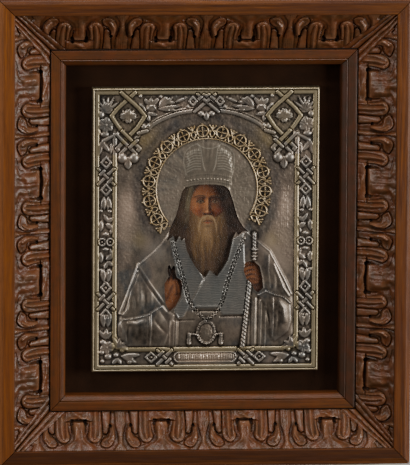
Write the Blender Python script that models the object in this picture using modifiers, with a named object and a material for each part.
"""Icon panel lying on its back: a carved and mitred frame, a velvet board, a painted wooden panel
under a chased silver cover, and the cover's pierced gilt halo.

All sizes are millimetres and become metres through MM. +Z is the panel's front, +Y its top.
"""

import math

import bmesh
import bpy
import numpy as np

MM = 0.001

# Frame: outer size, and the widths of the mouldings from the outer edge inwards
FRAME_WIDE = 324.0
FRAME_TALL = 368.0
FRAME_THICK = 48.0
OUTER_BAND = 13.0
CARVED_BAND = 28.0
GROOVE = 1.0
INNER_FILLET = 12.0
OUTER_CHAMFER = 3.6
CARVED_FALL = 17.9
FILLET_TOP = 29.2
FILLET_BEVEL = 3.6
GROOVE_DEPTH = 3.0
CORNER_LEAF = 31.2
CARVING_DEPTH = 3.4
MITRE_GAP = 0.6

# Rebate behind the sight edge, and the velvet board in it
REBATE_WIDE = 8.0
REBATE_DEEP = 12.6
BOARD_THICK = 9.3
FIT = 0.3

# Icon: cover, panel under it, and where it sits on the velvet
COVER_WIDE = 178.0
COVER_TALL = 224.0
COVER_SHIFT = 2.0
COVER_SHEET = 0.9
COVER_RAISED = 1.5
PANEL_THICK = 11.0
RELIEF_HEIGHT = 0.8

# Halo
HALO_RADIUS = 45.9
HALO_THICK = 1.2
HALO_RIM = 1.3
MEDALLION_RADIUS = 5.2
MEDALLION_RING = 1.3
MEDALLIONS = 13
HALO_SWEEP = 233.0
HALO_TURN = 94.5
HALO_SEAT = 0.05

# How fine the faceted carving is
RAIL_FACES = 820
COVER_FACES = 2350

# Edges bent by more than this many degrees stay sharp
SHARP_ANGLE = 35.0

# The size at which the ornament below is drawn
DRAWN_BAND = 28.0
DRAWN_HALF_MODULE = 38.0
DRAWN_WIDE = 178.0
DRAWN_TALL = 224.0

RAIL_WIDE = OUTER_BAND + CARVED_BAND + GROOVE + INNER_FILLET
BOARD_TOP = REBATE_DEEP - FIT
PANEL_BOTTOM = BOARD_TOP + FIT
PANEL_TOP = PANEL_BOTTOM + PANEL_THICK
FIELD_TOP = PANEL_TOP + FIT + 0.6
HALO_CENTRE = (0.6 * COVER_WIDE / DRAWN_WIDE, 32.2 * COVER_TALL / DRAWN_TALL)


# Drawing tools for relief


def smooth(low, high, value):
    """0 below low, 1 above high, and an easy slope between them."""
    k = np.clip((value - low) / (high - low), 0.0, 1.0)
    return k * k * (3.0 - 2.0 * k)


def bend(points, steps=4):
    """A smooth curve through a few points."""
    p = [np.array(q, float) for q in points]
    p = [2 * p[0] - p[1]] + p + [2 * p[-1] - p[-2]]
    out = []
    for a, b, c, d in zip(p, p[1:], p[2:], p[3:]):
        for i in range(steps):
            k = i / steps
            turn = (2 * a - 5 * b + 4 * c - d) * k**2 + (3 * b - a - 3 * c + d) * k**3
            out.append(tuple(0.5 * (2 * b + (c - a) * k + turn)))
    return out + [tuple(p[-2])]


def arc(centre, radius, start, stop, steps):
    """Points along an arc, its angles in degrees."""
    angles = np.radians(np.linspace(start, stop, steps + 1))
    return [(centre[0] + radius * math.cos(a), centre[1] + radius * math.sin(a)) for a in angles]


def follow(x, y, path):
    """Signed distance to a path and the share of its length reached there."""
    best = np.full(x.shape, 1e9)
    side = np.ones(x.shape)
    share = np.zeros(x.shape)
    runs = [math.hypot(b[0] - a[0], b[1] - a[1]) for a, b in zip(path, path[1:])]
    done = 0.0
    for (ax, ay), (bx, by), run in zip(path, path[1:], runs):
        ux = (bx - ax) / run
        uy = (by - ay) / run
        reach = np.clip((x - ax) * ux + (y - ay) * uy, 0.0, run)
        gap = np.hypot(x - ax - reach * ux, y - ay - reach * uy)
        nearer = gap < best
        best = np.where(nearer, gap, best)
        side = np.where(nearer, np.where(ux * (y - ay) < uy * (x - ax), -1.0, 1.0), side)
        share = np.where(nearer, (done + reach) / sum(runs), share)
        done += run
    return best * side, share


def inside(x, y, outline):
    """Distance to a closed outline, positive inside it."""
    loop = list(outline) + [outline[0]]
    gap = np.abs(follow(x, y, loop)[0])
    odd = np.zeros(x.shape, bool)
    for (ax, ay), (bx, by) in zip(loop, loop[1:]):
        if ay != by:
            odd ^= ((ay > y) != (by > y)) & (x < (bx - ax) * (y - ay) / (by - ay) + ax)
    return np.where(odd, gap, -gap)


class Relief:
    """Heights over a field of points, worked with a few tools of carving and chasing."""

    def __init__(self, x, y, ground):
        self.x = x
        self.y = y
        self.z = np.full(x.shape, ground)

    def near(self, path, pad):
        xs = [p[0] for p in path]
        ys = [p[1] for p in path]
        across = (self.x > min(xs) - pad) & (self.x < max(xs) + pad)
        return across & (self.y > min(ys) - pad) & (self.y < max(ys) + pad)

    def rib(self, path, half, high, floor=0.0, tip=1.0, moat=0.0, power=0.5):
        """A rounded strap that rises from floor to high, in a moat that clears what it crosses."""
        m = self.near(path, half * max(1.0, tip) + moat)
        d, k = follow(self.x[m], self.y[m], path)
        wide = half * (1.0 + (tip - 1.0) * k)
        d = np.abs(d)
        z = np.where(d < wide + moat, np.minimum(self.z[m], floor), self.z[m]) if moat else self.z[m]
        rise = floor + (high - floor) * np.clip(1.0 - (d / wide) ** 2, 0.0, None) ** power
        self.z[m] = np.where(d < wide, np.maximum(z, rise), z)

    def add(self, path, half, high):
        """A soft swelling along a path, or a hollow where high is negative."""
        m = self.near(path, 2.6 * half)
        d = follow(self.x[m], self.y[m], path)[0]
        self.z[m] += high * np.exp(-((d / half) ** 2))

    def cut(self, path, half, deep):
        """A V groove."""
        m = self.near(path, half)
        d = np.abs(follow(self.x[m], self.y[m], path)[0])
        self.z[m] -= deep * np.clip(1.0 - d / half, 0.0, None)

    def drill(self, centre, radius, depth):
        """A round sinking."""
        gap = np.hypot(self.x - centre[0], self.y - centre[1]) / radius
        self.z = np.where(gap < 1.0, np.minimum(self.z, depth + gap**2), self.z)

    def dome(self, centre, wide, tall, high, turn=0.0, floor=0.0, power=0.5):
        """An oval boss."""
        c = math.cos(math.radians(turn))
        s = math.sin(math.radians(turn))
        dx = self.x - centre[0]
        dy = self.y - centre[1]
        q = ((dx * c + dy * s) / wide) ** 2 + ((dy * c - dx * s) / tall) ** 2
        rise = floor + (high - floor) * np.clip(1.0 - q, 0.0, None) ** power
        self.z = np.where(q < 1.0, np.maximum(self.z, rise), self.z)

    def petal(self, base, tip, half, high, vein=0.3):
        """A pointed leaf with a vein."""
        m = self.near([base, tip], half)
        d, k = follow(self.x[m], self.y[m], [base, tip])
        d = np.abs(d)
        wide = half * np.sin(np.pi * (0.08 + 0.92 * k)) ** 0.75 + 0.001
        rise = high * np.clip(1.0 - (d / wide) ** 2, 0.0, None) ** 0.5
        rise -= vein * np.clip(1.0 - d / (0.3 * half), 0.0, None)
        self.z[m] = np.where(d < wide, np.maximum(self.z[m], rise), self.z[m])

    def plate(self, outline, high, soft, swell=0.0, reach=10.0):
        """What lies inside an outline lifted by high, with soft edges and a crown."""
        m = self.near(outline, 0.0)
        d = np.clip(inside(self.x[m], self.y[m], outline), 0.0, None)
        self.z[m] += high * smooth(0.0, soft, d) + swell * (1.0 - np.exp(-d / reach))


# Carving of a rail


def carve(t, s, period, slot, reeds, rail_half):
    """Height of a rail's leaves against the carved band's face, t along the rail and s across the band."""
    half = 0.5 * period
    size = half / DRAWN_HALF_MODULE
    a = np.abs(np.mod(t, period) - half)
    r = Relief(a, s, -3.4)
    tongue = (slot + 0.8) * (1.0 + 0.11 * np.clip(5.0 - s, 0.0, None))
    flutes = 0.55 * np.abs(np.sin(2.0 * np.pi * a / tongue))
    fall = 0.9 * smooth(0.75, 1.0, a / tongue) + 0.9 * smooth(6.0, 0.0, s)
    r.z = np.where((a < tongue) & (s < 19.5), -1.5 + flutes - fall, r.z)
    flare = slot + 0.8 + 10.0 * smooth(5.5, 0.5, s)
    r.z = np.where((a < flare) & (s < 5.5), np.maximum(r.z, -2.6), r.z)
    bridge = bend([(-0.1 * half, 24.4), (0.10 * half, 24.6), (0.30 * half, 26.0), (0.42 * half, 25.0)])
    r.rib(bridge, 3.9, 0.0, floor=-3.4)
    lobe_and_thumb(r, half, size)
    r.cut([(0.0, 20.3), (slot, 20.3)], 1.3, 3.4)
    r.drill((slot + 0.4, 20.0), 1.9, -4.6)
    r.drill((0.79 * half, 17.0), 1.5, -4.4)
    r.drill((0.665 * half, 11.6), 1.3, -4.2)
    b = half - a
    edge = reeds * (0.45 + 0.55 * smooth(9.0, 26.0, s) + 0.5 * smooth(7.0, 1.0, s))
    bundle = 0.5 * np.abs(np.cos(2.5 * np.pi * b / edge)) - 0.7 * smooth(0.6, 1.0, b / edge) - 1.3
    r.z = np.where(b < edge, bundle, r.z)
    return corner_leaf(r.z, t, s, period, rail_half)


def lobe_and_thumb(r, half, size):
    """The big lobe, the thumb beside it and the curled leaf round the thumb's end."""
    lobe = bend([(0.43 * half, 31.0), (0.43 * half, 22.0), (0.41 * half, 14.0), (0.355 * half, 11.0)])
    reach = 6.4 * size
    m = r.near(lobe, reach)
    d, k = follow(r.x[m], r.y[m], lobe)
    wide = reach * (1.0 - 0.12 * k)
    body = 3.7 * np.sqrt(np.clip(1.0 - (d / wide) ** 2, 0.0, None)) - 3.4
    body -= 0.6 * np.exp(-(((d - 0.30 * wide) / 0.8) ** 2))
    body -= 0.5 * np.exp(-(((d + 0.38 * wide) / 0.8) ** 2))
    r.z[m] = np.where(np.abs(d) < wide, np.maximum(r.z[m], body), r.z[m])
    thumb = [(0.69 * half, 31.0), (0.69 * half, 20.0), (0.675 * half, 17.0)]
    r.rib(thumb, 4.9 * size, 0.0, floor=-3.4, tip=0.85)
    curl = [(0.88 * half, 19.0), (0.88 * half, 12.0), (0.80 * half, 6.4), (0.67 * half, 4.6)]
    curl += [(0.57 * half, 6.4)]
    r.rib(bend(curl), 4.5 * size, 0.2, floor=-3.4, tip=0.75)
    vein = [(0.87 * half, 17.0), (0.86 * half, 11.5), (0.78 * half, 7.0), (0.66 * half, 5.4)]
    r.cut(bend(vein), 1.0, 0.9)


def corner_leaf(z, t, s, period, rail_half):
    """Two ridges along each side of the mitre, with a bud beside them."""
    bud = Relief(np.abs(t) - 2.0 * period, s, -9.0)
    bud.dome((3.0, 7.0), 3.6, 5.2, -0.2, turn=-35.0, floor=-3.4)
    z = np.maximum(z, bud.z)
    m = (rail_half - OUTER_BAND * DRAWN_BAND / CARVED_BAND - s - np.abs(t)) / math.sqrt(2.0)
    grow = 0.65 + 0.5 * s / DRAWN_BAND
    first = np.sqrt(np.clip(1.0 - ((m - 2.0 * grow) / (1.9 * grow)) ** 2, 0.0, None))
    second = np.sqrt(np.clip(1.0 - ((m - 6.0 * grow) / (2.2 * grow)) ** 2, 0.0, None))
    return np.where(m < 8.3 * grow, 3.2 * np.maximum(first, 0.9 * second) - 3.0, z)


# Chasing of the cover, drawn from the icon's centre


def knot(r, x, y, reach, half):
    """Two straps woven in a cross, with short straps across the weave."""
    r.rib([(x + reach, y + reach), (x - reach, y - reach)], half, 1.6, moat=0.6)
    r.rib([(x - reach, y + reach), (x + reach, y - reach)], half, 1.6, moat=0.6)
    for side in (-1, 1):
        far = side * 0.75 * reach
        close = side * 0.25 * reach
        r.rib([(x + far, y - close), (x + close, y - far)], half, 1.6, moat=0.5)


def diamond(r, x, y, wide, tall):
    r.rib([(x, y + tall), (x + wide, y), (x, y - tall), (x - wide, y), (x, y + tall)], 1.05, 1.5, moat=0.4)
    r.dome((x, y), 0.32 * wide, 0.32 * tall, 1.0)


def fillets(r):
    """Rim, outer fillet, inner fillet cut across the lower corner, and the low arch at the top."""
    edge = np.minimum(0.5 * DRAWN_WIDE + r.x, 0.5 * DRAWN_TALL - np.abs(r.y))
    rim = 1.5 * smooth(-0.2, 0.8, edge) * (1.0 - smooth(1.4, 1.8, edge))
    outer = 1.7 * smooth(1.9, 2.6, edge) * (1.0 - smooth(4.7, 5.5, edge))
    r.z = np.maximum(rim, outer)
    inner = [(-71.6, 76.0), (-71.6, -84.0), (-61.0, -94.4), (-31.0, -94.4), (-27.5, -95.6), (-24.0, -94.6)]
    r.rib(inner + [(2.0, -94.6)], 1.75, 1.5, power=0.3)
    arch = bend([(-45.0, 78.4), (-41.0, 82.6), (-31.4, 87.4), (-21.2, 91.0), (-10.5, 92.8)])
    r.rib(arch, 0.8, 1.2)
    r.rib([(x - 0.6, y + 2.3) for x, y in arch], 0.7, 1.2)


def corner_knot(r):
    """The woven corner with its flower, two balls and a drop."""
    x0 = -61.2
    strand = [(5.5, 108.5), (-8.0, 96.5), (-13.2, 90.0), (-7.4, 81.4), (0.0, 73.6), (9.0, 64.5), (4.0, 58.5)]
    lattice = [(-9.0, 75.5), (0.0, 66.6), (6.0, 60.6)]
    for path, half, high, sides in ((strand, 1.55, 1.9, (1, -1)), (lattice, 1.45, 1.8, (-1, 1))):
        for side in sides:
            r.rib([(x0 + side * x, y) for x, y in path], half, high, moat=0.6)
    r.rib([(x0 - 3.6, 77.4), (x0 + 3.6, 69.8)], 1.5, 2.0, moat=0.5)
    r.rib([(x0 + 1.2, 65.4), (x0 + 7.0, 71.0)], 1.45, 1.9, moat=0.5)
    r.rib([(-80.5, 70.6), (-69.5, 76.4)], 1.7, 1.7, tip=0.8)
    r.rib([(x0 + 9.0, 75.5), (-46.5, 77.6)], 1.4, 1.5)
    for side in (-1, 1):
        r.dome((x0 + side * 4.8, 57.0), 4.1, 4.3, 2.9)
        r.petal((x0, 90.0), (x0 + side * 6.4, 90.0), 1.9, 1.7)
        r.petal((x0, 90.0), (x0, 90.0 + side * 5.2), 1.9, 1.7)
    r.petal((x0, 58.0), (x0, 49.6), 2.6, 1.6)
    r.dome((x0, 90.0), 1.6, 1.5, 2.1)


def corner_flowers(r):
    """Palmette and blossom in the upper corner, and the spray of the top border."""
    for dx, dy, half in ((-6.5, 5.6, 1.6), (-2.6, 8.2, 1.7), (2.6, 8.2, 1.9), (7.6, 6.4, 1.8)):
        r.petal((-78.0, 94.6), (-78.0 + dx, 94.6 + dy), half, 1.6)
    for dx, dy in ((0.0, 4.0), (-3.8, 1.0), (3.8, 1.0), (-2.4, -3.4), (2.4, -3.4), (0.0, 0.0)):
        r.dome((-77.4 + dx, 81.4 + dy), 2.3, 2.3, 1.6)
    for x, y, wide, tall in ((-82.4, 89.6, 2.6, 2.9), (-73.6, 92.0, 2.0, 2.2), (-80.6, 75.0, 3.0, 1.9)):
        r.dome((x, y), wide, tall, 1.8)
    r.petal((-78.6, 68.0), (-73.6, 61.6), 1.8, 1.5)
    r.petal((-81.5, 67.0), (-82.4, 58.6), 1.5, 1.5)
    for x, y, size in ((-50.5, 103.2, 2.0), (-43.5, 97.5, 2.0), (-35.0, 103.5, 1.6), (-46.0, 83.6, 2.5)):
        r.dome((x, y), size, size, 1.6)
    for base, tip, half in (
        ((-40.0, 93.5), (-41.0, 103.8), 2.4),
        ((-39.0, 95.0), (-47.5, 99.0), 2.0),
        ((-38.0, 94.5), (-31.5, 99.4), 2.0),
        ((-36.0, 92.0), (-48.0, 89.0), 2.2),
        ((-30.0, 97.0), (-19.5, 102.6), 2.3),
        ((-24.0, 93.6), (-13.0, 96.4), 1.7),
    ):
        r.petal(base, tip, half, 1.6)


def side_ornament(r):
    """Knots, diamonds, leaves, balls and rings up the side."""
    x0 = -78.4
    for y0 in (42.5, -56.3):
        knot(r, x0, y0, 6.2, 1.3)
        diamond(r, x0, y0 + 10.9, 3.7, 4.3)
        diamond(r, x0, y0 - 10.6, 3.7, 4.3)
    for y0, up in ((26.0, -1), (-40.5, 1), (-76.0, 1)):
        r.petal((x0 - 1.9, y0), (x0 - 2.4, y0 + up * 9.5), 1.4, 1.4)
        r.petal((x0 + 1.8, y0), (x0 + 2.4, y0 + up * 9.5), 1.4, 1.4)
    for y0 in (15.4, -31.4):
        r.dome((x0 - 4.0, y0), 1.9, 1.4, 1.7)
        r.dome((x0 + 2.8, y0 - 0.3), 1.9, 1.3, 1.6)
    for up in (1, -1):
        for x, dy, tip_x, tip_y, half in (
            (-79.6, 21.0, -76.2, 15.2, 1.5),
            (-77.0, 15.6, -72.8, 19.0, 1.7),
            (-82.6, 9.0, -82.2, 16.6, 2.1),
            (-77.8, 13.8, -72.8, 10.4, 2.0),
        ):
            r.petal((x, up * dy - 9.0), (tip_x, up * tip_y - 9.0), half, 1.5)
        r.dome((x0, up * 6.0 - 9.0), 2.2, 1.3, 1.3)
    for dx in (-3.0, 3.4):
        r.rib(arc((x0 + dx, -9.2), 2.6, 0, 360, 12), 0.95, 1.8, moat=0.3)


def bottom_ornament(r):
    """Flowers of the lower corner, and the knots and cartouche of the bottom border."""
    for x, y, size in (
        (-80.5, -88.5, 2.7),
        (-73.5, -91.5, 3.4),
        (-81.5, -96.5, 2.4),
        (-76.5, -99.8, 3.0),
        (-81.0, -103.5, 1.9),
        (-65.5, -95.0, 2.0),
        (-70.2, -98.6, 2.2),
        (-59.5, -104.2, 2.2),
    ):
        r.dome((x, y), size, 0.85 * size, 1.7)
    r.petal((-82.0, -79.0), (-76.6, -82.4), 1.5, 1.6)
    r.petal((-73.0, -78.0), (-78.6, -84.6), 1.8, 1.6)
    r.petal((-64.0, -99.0), (-54.0, -104.6), 2.4, 1.6)
    r.petal((-62.0, -97.6), (-50.6, -98.4), 2.0, 1.5)
    diamond(r, -42.6, -100.8, 4.2, 3.7)
    knot(r, -32.0, -100.8, 5.7, 1.3)
    frame = [(2.0, -96.9), (-20.5, -96.9)] + arc((-20.5, -100.8), 3.9, 90, 270, 8)[1:] + [(2.0, -104.7)]
    r.rib(frame, 0.7, 1.6)
    r.rib([(2.0, -100.8), (-20.5, -100.8)], 2.6, 0.8, power=0.2)


def top_knot(r):
    """Half of the knot in the middle of the top border, and its drop."""
    for side in (1, -1):
        r.rib([(side * 7.0, 107.0), (side * -9.4, 93.2)], 1.35, 1.9, moat=0.5)
        r.rib([(side * 2.0, 107.0), (side * -11.0, 98.2)], 1.2, 1.7, moat=0.4)
    r.rib([(-8.0, 101.0), (-4.0, 104.8)], 1.3, 1.9, moat=0.5)
    diamond(r, -10.6, 101.4, 3.0, 3.4)
    r.dome((-4.2, 91.6), 2.6, 2.4, 2.0)
    r.petal((0.0, 92.5), (0.0, 86.2), 2.2, 1.8)


BODY = [
    (-27.0, 0.0), (-33.0, -9.0), (-40.9, -17.4), (-52.8, -27.6), (-56.6, -36.0), (-61.8, -51.0),
    (-67.6, -68.0), (-69.8, -76.0), (-69.8, -84.0), (-61.0, -93.0), (61.0, -93.0), (69.8, -84.0),
    (69.8, -58.0), (68.9, -51.0), (62.6, -38.0), (56.6, -27.0), (50.8, -16.6), (42.0, -9.0),
    (32.6, -1.4), (20.0, 8.0), (-18.0, 8.0),
]
LEFT_SLEEVE = [
    (-69.6, -74.0), (-66.0, -70.0), (-56.0, -68.4), (-47.0, -66.4), (-40.0, -62.0), (-33.6, -58.8),
    (-29.4, -64.0), (-23.6, -66.6), (-26.6, -76.0), (-32.0, -92.8), (-62.0, -92.8), (-69.6, -85.0),
]
RIGHT_SLEEVE = [
    (40.6, -51.6), (47.0, -47.4), (54.0, -50.0), (62.0, -52.0), (67.6, -57.0), (68.8, -72.0),
    (66.0, -81.0), (54.4, -89.6), (51.0, -84.0), (50.0, -70.0), (46.0, -59.0),
]
LEFT_STOLE = [
    (-29.0, -6.0), (-26.0, -3.0), (-14.0, -8.0), (-12.0, -20.0), (-1.2, -38.6), (-6.6, -47.0),
    (-11.6, -56.0), (-17.4, -68.6), (-22.0, -70.0), (-25.0, -63.0), (-19.0, -54.0), (-18.0, -40.0),
    (-23.0, -34.0), (-24.6, -26.0),
]
RIGHT_STOLE = [
    (3.0, -31.0), (20.0, -8.0), (30.0, -2.0), (31.0, -30.0), (36.4, -43.0), (31.0, -67.0),
    (13.0, -67.4), (10.6, -62.0), (-8.0, -62.0), (-11.0, -56.0), (-2.0, -39.0),
]
MITRE_CROWN = [
    (-18.6, 40.0), (-20.0, 49.0), (-17.4, 59.5), (-9.0, 67.6), (1.0, 70.2), (11.0, 67.6),
    (19.4, 59.5), (22.0, 49.0), (20.6, 40.0),
]


def robes(r):
    """Mantle, sleeves, stole and apron."""
    r.plate(BODY, 1.0, 1.8, swell=1.3, reach=9.0)
    left = [(-28.0, -2.0), (-34.0, -10.4), (-41.2, -18.0), (-52.2, -28.0), (-57.2, -39.0)]
    r.add(left + [(-62.0, -52.5), (-67.0, -68.0)], 1.1, 1.1)
    r.add([(-50.6, -31.0), (-55.0, -45.0), (-58.6, -58.0), (-61.0, -66.0), (-66.0, -68.6)], 0.9, 0.9)
    r.add([(-52.0, -29.0), (-43.6, -43.0), (-33.2, -59.2)], 0.9, 0.8)
    right = [(32.0, -2.0), (41.0, -9.0), (50.4, -17.0), (56.0, -27.6), (62.2, -39.0), (68.0, -51.4)]
    r.add(right, 1.1, 1.1)
    r.add([(54.0, -29.0), (58.0, -38.0), (62.6, -48.0), (66.0, -53.0)], 0.9, 0.9)
    folds = ((-53.0, -46.0, -63.0), (-48.6, -38.0, -63.0), (-43.0, -46.0, -63.0), (55.0, -36.0, -49.0))
    for x, top, bottom in folds:
        r.add([(x, top), (x + 0.8, bottom)], 1.7, 1.1)
    r.plate(LEFT_SLEEVE, 0.9, 1.4, swell=2.2, reach=7.0)
    r.add([(-63.0, -77.0), (-52.0, -72.6), (-40.0, -66.0)], 3.4, 0.9)
    r.add([(-43.2, -66.0), (-43.2, -92.0)], 0.8, 0.8)
    r.add([(-40.0, -72.0), (-33.0, -84.0), (-31.0, -90.0)], 1.2, -0.9)
    r.add([(-62.6, -76.0), (-62.0, -90.0)], 1.4, -1.2)
    r.plate(RIGHT_SLEEVE, 0.9, 1.4, swell=2.2, reach=6.0)
    r.add([(58.0, -56.0), (62.6, -64.0), (62.0, -76.0)], 3.0, 0.8)
    r.add([(52.8, -54.0), (52.4, -87.0)], 0.8, 0.7)
    for x, top in ((-26.6, -72.0), (-22.4, -73.0), (38.4, -56.0), (42.6, -55.0), (46.8, -60.0)):
        r.add([(x, top), (x - 0.4, -92.5)], 1.1, 0.8)
    r.plate(LEFT_STOLE, 0.5, 0.9)
    hem = [(-1.4, -38.8), (-6.6, -47.0), (-11.6, -56.0), (-17.2, -68.0), (-20.6, -70.4), (-24.4, -65.0)]
    r.add(hem, 0.8, 0.7)
    r.plate(RIGHT_STOLE, 0.6, 0.9)
    r.add([(-7.6, -60.4), (10.6, -60.4)], 1.0, 0.7)
    r.cut([(12.0, -68.6), (30.6, -68.2)], 1.2, 0.8)
    r.cut([(-9.0, -64.0), (11.0, -64.0)], 1.4, 0.9)


def mitre(r):
    """The bishop's mitre: a domed crown over a band."""
    crown = [(-17.6, 35.4)] + bend(MITRE_CROWN) + [(19.6, 35.4)]
    r.plate(crown, 1.2, 1.4, swell=1.4, reach=6.0)
    for y in (37.4, 42.0):
        r.add([(-18.0, y + 0.6), (1.0, y - 0.6), (20.0, y + 0.6)], 0.8, 0.7)
    for side in (-1, 1):
        lobe = bend([(14.0, 44.0), (15.6, 53.0), (10.0, 62.0), (1.6, 66.4)])
        r.add([(1.0 + side * x, y) for x, y in lobe], 0.7, 0.5)


def trimmings(r):
    """Chain, pendant, tassels and staff, lying on the robes."""
    base = 2.3
    for chain in (
        [(-25.9, -8.9), (-21.2, -26.3), (-16.4, -42.9), (-12.4, -57.0), (-3.8, -67.6), (-0.4, -70.0)],
        [(30.3, -5.7), (22.3, -26.3), (16.8, -42.9), (12.9, -57.1), (6.5, -67.6), (1.6, -70.0)],
    ):
        r.rib(bend(chain), 1.25, base + 2.2, floor=base)
    r.dome((0.6, -80.9), 7.9, 9.8, base + 1.8, floor=base - 0.4, power=0.3)
    gap = np.hypot((r.x - 0.6) / 5.9, (r.y + 80.9) / 7.3)
    r.z = np.where(gap < 1.0, base + 1.3 - gap**2, r.z)
    for x in (-12.8, 12.2):
        r.rib([(x, -82.4), (x, -89.4)], 1.5, base + 1.5, floor=base, tip=1.25)
        r.rib([(0.6 + 0.58 * (x - 0.6), -82.8), (x, -82.0)], 0.8, base + 1.1, floor=base)
    r.rib([(38.3, -3.4), (38.2, -24.0)], 1.7, base + 2.2, floor=base, moat=0.4)
    r.rib([(34.8, -40.6), (32.6, -62.0), (29.3, -92.6)], 2.0, base + 2.2, floor=base, moat=0.4)


def cover_relief(x, y):
    """Height of the chased cover over its field, x and y from the icon's centre in the drawing's size."""
    border = Relief(-np.abs(x), y, 0.0)
    fillets(border)
    corner_flowers(border)
    corner_knot(border)
    side_ornament(border)
    bottom_ornament(border)
    top_knot(border)
    field = Relief(x, y, 0.0)
    robes(field)
    mitre(field)
    trimmings(field)
    edge = np.minimum(0.5 * DRAWN_WIDE - np.abs(x), 0.5 * DRAWN_TALL - np.abs(y))
    return np.where(edge < 17.4, border.z, np.maximum(border.z, field.z))


# Openings of the cover: face, hair and beard, and the two hands
FACE_OPENING = [
    (-15.6, 34.6), (-8.0, 33.9), (0.5, 33.7), (9.0, 33.9), (15.4, 34.6), (18.6, 31.0),
    (21.6, 22.0), (24.2, 12.5), (26.6, 6.5), (30.0, 1.5), (34.0, -1.8), (29.0, -1.6),
    (25.5, -4.4), (24.0, -1.5), (21.4, -6.5), (19.6, -15.0), (17.6, -23.5), (13.0, -31.5),
    (9.0, -36.8), (5.8, -34.4), (3.1, -31.8), (1.4, -35.0), (-0.3, -37.6), (-4.0, -34.4),
    (-8.4, -28.6), (-12.6, -21.5), (-15.2, -15.5), (-17.0, -6.5), (-19.4, -8.6), (-20.6, -4.2),
    (-23.6, -10.0), (-25.6, -4.6), (-30.6, -8.6), (-28.8, -1.5), (-26.6, 4.5), (-23.6, 11.0),
    (-21.8, 17.0), (-20.4, 24.0), (-18.4, 30.6),
]
LEFT_HAND_OPENING = [
    (-28.8, -36.4), (-30.0, -32.5), (-29.6, -28.2), (-28.2, -27.4), (-26.9, -31.0), (-25.4, -27.8),
    (-24.1, -28.6), (-24.0, -33.0), (-22.6, -37.4), (-19.4, -39.4), (-18.1, -44.5), (-19.6, -53.0),
    (-23.6, -60.4), (-28.2, -64.2), (-31.4, -58.4), (-32.3, -50.0), (-32.3, -42.0),
]
RIGHT_HAND_OPENING = [
    (30.8, -26.2), (34.4, -24.8), (38.0, -25.0), (42.4, -29.0), (44.6, -37.6), (45.4, -46.2),
    (41.6, -49.8), (38.6, -47.8), (36.4, -42.8), (32.2, -38.9), (29.8, -32.6),
]


# Scene helpers


def clear_scene():
    for obj in list(bpy.data.objects):
        bpy.data.objects.remove(obj, do_unlink=True)


def collection(name, helper=False):
    made = bpy.data.collections.new(name)
    bpy.context.scene.collection.children.link(made)
    made.hide_render = helper
    return made


def material(name, colour, roughness, metallic=0.0):
    made = bpy.data.materials.new(name)
    made.use_nodes = True
    shader = made.node_tree.nodes["Principled BSDF"]
    shader.inputs["Base Color"].default_value = (*colour, 1.0)
    shader.inputs["Roughness"].default_value = roughness
    shader.inputs["Metallic"].default_value = metallic
    made.diffuse_color = (*colour, 1.0)
    return made


def new_object(name, mesh, group):
    obj = bpy.data.objects.new(name, mesh)
    group.objects.link(obj)
    return obj


def mesh_of(bm, name):
    mesh = bpy.data.meshes.new(name)
    bm.to_mesh(mesh)
    bm.free()
    return mesh


def block(name, low, high, group):
    """A box between two corners."""
    bm = bmesh.new()
    bmesh.ops.create_cube(bm, size=1.0)
    for vert in bm.verts:
        for i in range(3):
            vert.co[i] = (low[i] if vert.co[i] < 0.0 else high[i]) * MM
    return new_object(name, mesh_of(bm, name), group)


def prism(name, outline, low, high, group):
    """A closed outline extruded between two heights."""
    bm = bmesh.new()
    face = bm.faces.new([bm.verts.new((x * MM, y * MM, low * MM)) for x, y in outline])
    bmesh.ops.recalc_face_normals(bm, faces=[face])
    top = bmesh.ops.extrude_face_region(bm, geom=[face])["geom"]
    rise = (0.0, 0.0, (high - low) * MM)
    bmesh.ops.translate(bm, vec=rise, verts=[v for v in top if isinstance(v, bmesh.types.BMVert)])
    bmesh.ops.recalc_face_normals(bm, faces=bm.faces)
    return new_object(name, mesh_of(bm, name), group)


def modify(obj, kind, **values):
    made = obj.modifiers.new(kind.title(), kind)
    for key, value in values.items():
        setattr(made, key, value)
    return made


def boolean(obj, other, operation):
    other.hide_render = True
    other.display_type = "WIRE"
    modify(obj, "BOOLEAN", object=other, operation=operation, solver="EXACT")


def bake(obj):
    """Makes the object's modifiers part of its mesh, smooth but for its real edges."""
    bpy.context.view_layer.update()
    evaluated = obj.evaluated_get(bpy.context.evaluated_depsgraph_get())
    mesh = bpy.data.meshes.new_from_object(evaluated)
    obj.modifiers.clear()
    obj.data = mesh
    mesh.shade_smooth()
    mesh.set_sharp_from_angle(angle=math.radians(SHARP_ANGLE))


def relief_sheet(name, low, high, pitch, height, faces, group):
    """A grid between two corners, lifted by height(x, y) and thinned to a number of faces."""
    wide = high[0] - low[0]
    tall = high[1] - low[1]
    bpy.ops.mesh.primitive_grid_add(
        x_subdivisions=round(wide / pitch), y_subdivisions=round(tall / pitch), size=1.0
    )
    obj = bpy.context.active_object
    for owner in list(obj.users_collection):
        owner.objects.unlink(obj)
    group.objects.link(obj)
    obj.name = name
    co = np.empty(3 * len(obj.data.vertices))
    obj.data.vertices.foreach_get("co", co)
    co = co.reshape(-1, 3)
    x = low[0] + (co[:, 0] + 0.5) * wide
    y = low[1] + (co[:, 1] + 0.5) * tall
    co = np.stack([x, y, height(x, y)], axis=1) * MM
    obj.data.vertices.foreach_set("co", co.ravel())
    modify(obj, "DECIMATE", ratio=faces / (2.0 * len(obj.data.polygons)))
    bake(obj)
    return obj


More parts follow.
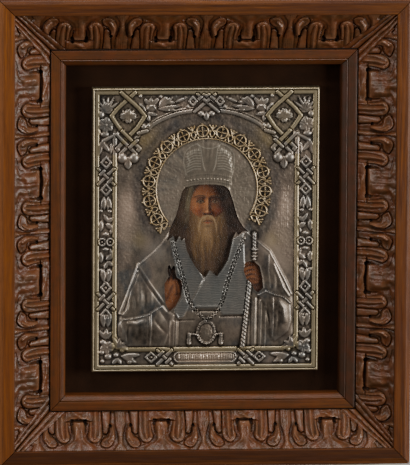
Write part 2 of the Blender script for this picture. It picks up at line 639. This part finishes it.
def close_below(obj, low, high, depth):
    """Turns an open sheet into a solid: its rim squared to the rectangle, and walls down to depth."""
    bm = bmesh.new()
    bm.from_mesh(obj.data)
    rim = [edge for edge in bm.edges if edge.is_boundary]
    for vert in {v for edge in rim for v in edge.verts}:
        gaps = [abs(vert.co[0] - low[0] * MM), abs(vert.co[0] - high[0] * MM)]
        gaps += [abs(vert.co[1] - low[1] * MM), abs(vert.co[1] - high[1] * MM)]
        for i, gap in enumerate(gaps):
            if gap < 0.5 * MM or gap == min(gaps):
                vert.co[i // 2] = (low, high)[i % 2][i // 2] * MM
    walls = bmesh.ops.extrude_edge_only(bm, edges=rim)["geom"]
    for vert in [v for v in walls if isinstance(v, bmesh.types.BMVert)]:
        vert.co[2] = depth(vert.co[1] / MM) * MM
    bmesh.ops.holes_fill(bm, edges=[edge for edge in bm.edges if edge.is_boundary])
    bmesh.ops.triangulate(bm, faces=[face for face in bm.faces if len(face.verts) > 4])
    bmesh.ops.recalc_face_normals(bm, faces=bm.faces)
    bm.to_mesh(obj.data)
    bm.free()


# Frame


def band_face(w):
    """Height of the carved band's face, w from the frame's outer edge."""
    return FRAME_THICK - 1.5 - CARVED_FALL * (w - OUTER_BAND) / CARVED_BAND


def rail_profile():
    """Outline of a rail's section without its carving: w inwards from the outer edge, z up."""
    groove = OUTER_BAND + CARVED_BAND
    fillet = groove + GROOVE
    bed = 2.0 * CARVING_DEPTH
    return [
        (0.0, 0.0),
        (0.0, FRAME_THICK - 3.0),
        (0.3 * OUTER_CHAMFER, FRAME_THICK - 1.4),
        (OUTER_CHAMFER, FRAME_THICK - 0.5),
        (OUTER_CHAMFER + 0.4, FRAME_THICK),
        (OUTER_BAND - 0.8, FRAME_THICK),
        (OUTER_BAND, FRAME_THICK - 0.8),
        (OUTER_BAND, band_face(OUTER_BAND) - bed),
        (groove - 0.6, band_face(groove) - bed),
        (groove, FILLET_TOP - GROOVE_DEPTH),
        (fillet, FILLET_TOP - GROOVE_DEPTH),
        (fillet, FILLET_TOP - 0.5),
        (fillet + 0.6, FILLET_TOP),
        (RAIL_WIDE - FILLET_BEVEL - 1.6, FILLET_TOP),
        (RAIL_WIDE - FILLET_BEVEL - 1.1, FILLET_TOP - 0.6),
        (RAIL_WIDE - FILLET_BEVEL - 0.5, FILLET_TOP - 0.2),
        (RAIL_WIDE - FILLET_BEVEL, FILLET_TOP - 0.7),
        (RAIL_WIDE, FILLET_TOP - FILLET_BEVEL),
        (RAIL_WIDE, REBATE_DEEP),
        (RAIL_WIDE - REBATE_WIDE, REBATE_DEEP),
        (RAIL_WIDE - REBATE_WIDE, 0.0),
    ]


def rail(name, length, slot, reeds, wood, group, helpers):
    """One rail along X, its outer side at y = 0: moulded section, carved band and mitred ends."""
    half = 0.5 * length
    bm = bmesh.new()
    face = bm.faces.new([bm.verts.new((-half * MM, w * MM, z * MM)) for w, z in rail_profile()])
    swept = bmesh.ops.extrude_face_region(bm, geom=[face])["geom"]
    end = [v for v in swept if isinstance(v, bmesh.types.BMVert)]
    bmesh.ops.translate(bm, vec=(length * MM, 0.0, 0.0), verts=end)
    bmesh.ops.recalc_face_normals(bm, faces=bm.faces)
    obj = new_object(name, mesh_of(bm, name), group)
    scale = CARVED_BAND / DRAWN_BAND
    depth = CARVING_DEPTH / 3.4
    period = (length - 2.0 * CORNER_LEAF) / 4.0 / scale

    def height(x, y):
        s = np.clip(y - OUTER_BAND, 0.0, CARVED_BAND) / scale
        return band_face(y) + depth * carve(x / scale, s, period, slot, reeds, half / scale)

    def under(y):
        return band_face(y) - 2.5 * CARVING_DEPTH

    low = (-half, OUTER_BAND - 0.5)
    high = (half, OUTER_BAND + CARVED_BAND)
    carving = relief_sheet(name + "_carving", low, high, 0.8, height, RAIL_FACES, helpers)
    close_below(carving, low, high, under)
    boolean(obj, carving, "UNION")
    for side in (-1, 1):
        inner = half - 0.5 * MITRE_GAP
        outline = [(side * (inner + 5.0), -5.0), (side * (inner - RAIL_WIDE - 5.0), RAIL_WIDE + 5.0)]
        outline += [(side * (half + 9.0), RAIL_WIDE + 5.0), (side * (half + 9.0), -5.0)]
        cutter = prism(f"{name}_mitre_{side}", outline, -5.0, FRAME_THICK + 5.0, helpers)
        boolean(obj, cutter, "DIFFERENCE")
    bake(obj)
    obj.data.materials.clear()
    obj.data.materials.append(wood)
    return obj


def place_rail(obj, x, y, turn):
    obj.location = (x * MM, y * MM, 0.0)
    obj.rotation_euler = (0.0, 0.0, math.radians(turn))


def make_frame(group, helpers):
    wood = material("walnut", (0.20, 0.085, 0.035), 0.45)
    for name, length, slot, reeds, x, y, turn in (
        ("frame_bottom", FRAME_WIDE, 6.0, 5.6, 0.0, -0.5 * FRAME_TALL, 0.0),
        ("frame_top", FRAME_WIDE, 6.0, 5.6, 0.0, 0.5 * FRAME_TALL, 180.0),
        ("frame_left", FRAME_TALL, 11.0, 3.0, -0.5 * FRAME_WIDE, 0.0, -90.0),
        ("frame_right", FRAME_TALL, 11.0, 3.0, 0.5 * FRAME_WIDE, 0.0, 90.0),
    ):
        place_rail(rail(name, length, slot, reeds, wood, group, helpers), x, y, turn)


# Board, panel, cover and halo


def make_board(group):
    half_x = 0.5 * FRAME_WIDE - RAIL_WIDE + REBATE_WIDE - FIT
    half_y = 0.5 * FRAME_TALL - RAIL_WIDE + REBATE_WIDE - FIT
    low = (-half_x, -half_y, BOARD_TOP - BOARD_THICK)
    board = block("velvet_board", low, (half_x, half_y, BOARD_TOP), group)
    modify(board, "BEVEL", width=0.8 * MM, segments=1)
    board.data.materials.append(material("velvet", (0.022, 0.012, 0.008), 0.9))


def make_panel(group):
    half_x = 0.5 * COVER_WIDE - COVER_SHEET - FIT
    half_y = 0.5 * COVER_TALL - COVER_SHEET - FIT
    low = (COVER_SHIFT - half_x, -half_y, PANEL_BOTTOM)
    panel = block("icon_panel", low, (COVER_SHIFT + half_x, half_y, PANEL_TOP), group)
    modify(panel, "BEVEL", width=0.6 * MM, segments=1)
    panel.data.materials.append(material("painted_panel", (0.30, 0.16, 0.08), 0.4))


def make_cover(group, helpers):
    """The chased sheet: relief on top, sides folded down round the panel, openings for face and hands."""
    to_x = DRAWN_WIDE / COVER_WIDE
    to_y = DRAWN_TALL / COVER_TALL

    def height(x, y):
        return FIELD_TOP + RELIEF_HEIGHT * cover_relief((x - COVER_SHIFT) * to_x, y * to_y)

    low = (COVER_SHIFT - 0.5 * COVER_WIDE, -0.5 * COVER_TALL)
    high = (COVER_SHIFT + 0.5 * COVER_WIDE, 0.5 * COVER_TALL)
    cover = relief_sheet("silver_cover", low, high, 0.75, height, COVER_FACES, group)
    skirt = PANEL_BOTTOM + COVER_RAISED
    close_below(cover, low, high, lambda y: skirt)
    wall = COVER_SHEET
    pocket_low = (low[0] + wall, low[1] + wall, PANEL_BOTTOM - 5.0)
    pocket_high = (high[0] - wall, high[1] - wall, PANEL_TOP + FIT)
    boolean(cover, block("pocket", pocket_low, pocket_high, helpers), "DIFFERENCE")
    openings = (("face", FACE_OPENING), ("left_hand", LEFT_HAND_OPENING), ("right_hand", RIGHT_HAND_OPENING))
    for name, drawn in openings:
        outline = [(COVER_SHIFT + x / to_x, y / to_y) for x, y in drawn]
        cutter = prism(name + "_opening", outline, PANEL_TOP - 2.0, FRAME_THICK, helpers)
        boolean(cover, cutter, "DIFFERENCE")
    seat = prism("halo_seat", halo_seat(), FIELD_TOP + HALO_SEAT, FRAME_THICK, helpers)
    boolean(cover, seat, "DIFFERENCE")
    bake(cover)
    cover.data.materials.clear()
    cover.data.materials.append(material("chased_silver", (0.45, 0.42, 0.37), 0.35, 1.0))


def polar(radius, angle):
    return (radius * math.cos(math.radians(angle)), radius * math.sin(math.radians(angle)))


def halo_seat():
    """The band of the field that the halo lies on, kept flat."""
    centre = (COVER_SHIFT + HALO_CENTRE[0], HALO_CENTRE[1])
    low = HALO_TURN - 0.54 * HALO_SWEEP
    high = HALO_TURN + 0.54 * HALO_SWEEP
    inner = HALO_RADIUS - MEDALLION_RADIUS - 0.6 - HALO_RIM - FIT
    outer = HALO_RADIUS + MEDALLION_RADIUS + FIT
    return arc(centre, outer, low, high, 24) + arc(centre, inner, high, low, 24)


def halo_outlines():
    """Outer edge and openings of the pierced halo, each as points from its centre."""
    step = HALO_SWEEP / (MEDALLIONS - 1)
    start = HALO_TURN - 0.5 * HALO_SWEEP
    angles = [start + step * k for k in range(MEDALLIONS)]
    rim = HALO_RADIUS - MEDALLION_RADIUS - 0.6
    last = angles[-1] + 0.45 * step
    edge = arc((0.0, 0.0), rim - HALO_RIM, last, angles[0] - 0.45 * step, 2 * MEDALLIONS)
    edge += [polar(HALO_RADIUS - 2.0, angles[0] - 0.45 * step)]
    openings = []
    for k, angle in enumerate(angles):
        centre = polar(HALO_RADIUS, angle)
        edge += arc(centre, MEDALLION_RADIUS, angle - 80.0, angle + 80.0, 5)
        hole = MEDALLION_RADIUS - MEDALLION_RING
        for quarter in range(4):
            turn = angle + 90.0 * quarter + 45.0
            near = polar(0.9, turn)
            openings.append(
                [(centre[0] + near[0], centre[1] + near[1])] + arc(centre, hole, turn - 26.0, turn + 26.0, 1)
            )
        if k < MEDALLIONS - 1:
            middle = angle + 0.5 * step
            waist = 0.17 * step
            peak = HALO_RADIUS + 0.9 * MEDALLION_RADIUS
            edge += [polar(HALO_RADIUS + 1.2, middle - waist), polar(peak, middle)]
            edge += [polar(HALO_RADIUS + 1.2, middle + waist)]
            low = [polar(rim + 1.0, middle - waist), polar(rim + 1.0, middle + waist)]
            openings.append(low + [polar(HALO_RADIUS - 1.6, middle)])
            openings.append(
                [
                    polar(HALO_RADIUS - 0.4, middle),
                    polar(HALO_RADIUS + 1.4, middle - 0.5 * waist),
                    polar(HALO_RADIUS + 2.8, middle),
                    polar(HALO_RADIUS + 1.4, middle + 0.5 * waist),
                ]
            )
    edge += [polar(HALO_RADIUS - 2.0, last)]
    return [edge] + openings


def make_halo(group):
    """The halo: a flat pierced ring, cut from one sheet."""
    curve = bpy.data.curves.new("halo", "CURVE")
    curve.dimensions = "2D"
    curve.fill_mode = "BOTH"
    curve.extrude = 0.5 * HALO_THICK * MM
    for outline in halo_outlines():
        spline = curve.splines.new("POLY")
        spline.points.add(len(outline) - 1)
        for point, (x, y) in zip(spline.points, outline):
            point.co = (x * MM, y * MM, 0.0, 1.0)
        spline.use_cyclic_u = True
    shape = bpy.data.objects.new("halo_outline", curve)
    group.objects.link(shape)
    bpy.context.view_layer.update()
    mesh = bpy.data.meshes.new_from_object(shape.evaluated_get(bpy.context.evaluated_depsgraph_get()))
    bm = bmesh.new()
    bm.from_mesh(mesh)
    bmesh.ops.remove_doubles(bm, verts=bm.verts, dist=0.00001)
    bmesh.ops.recalc_face_normals(bm, faces=bm.faces)
    bm.to_mesh(mesh)
    bm.free()
    bpy.data.objects.remove(shape)
    halo = new_object("halo", mesh, group)
    lift = FIELD_TOP + FIT + 0.5 * HALO_THICK
    halo.location = ((COVER_SHIFT + HALO_CENTRE[0]) * MM, HALO_CENTRE[1] * MM, lift * MM)
    halo.data.materials.clear()
    halo.data.materials.append(material("gilt", (0.62, 0.48, 0.26), 0.3, 1.0))


def main():
    clear_scene()
    parts = collection("icon_panel_parts")
    helpers = collection("cutters", helper=True)
    make_frame(parts, helpers)
    make_board(parts)
    make_panel(parts)
    make_cover(parts, helpers)
    make_halo(parts)


main()
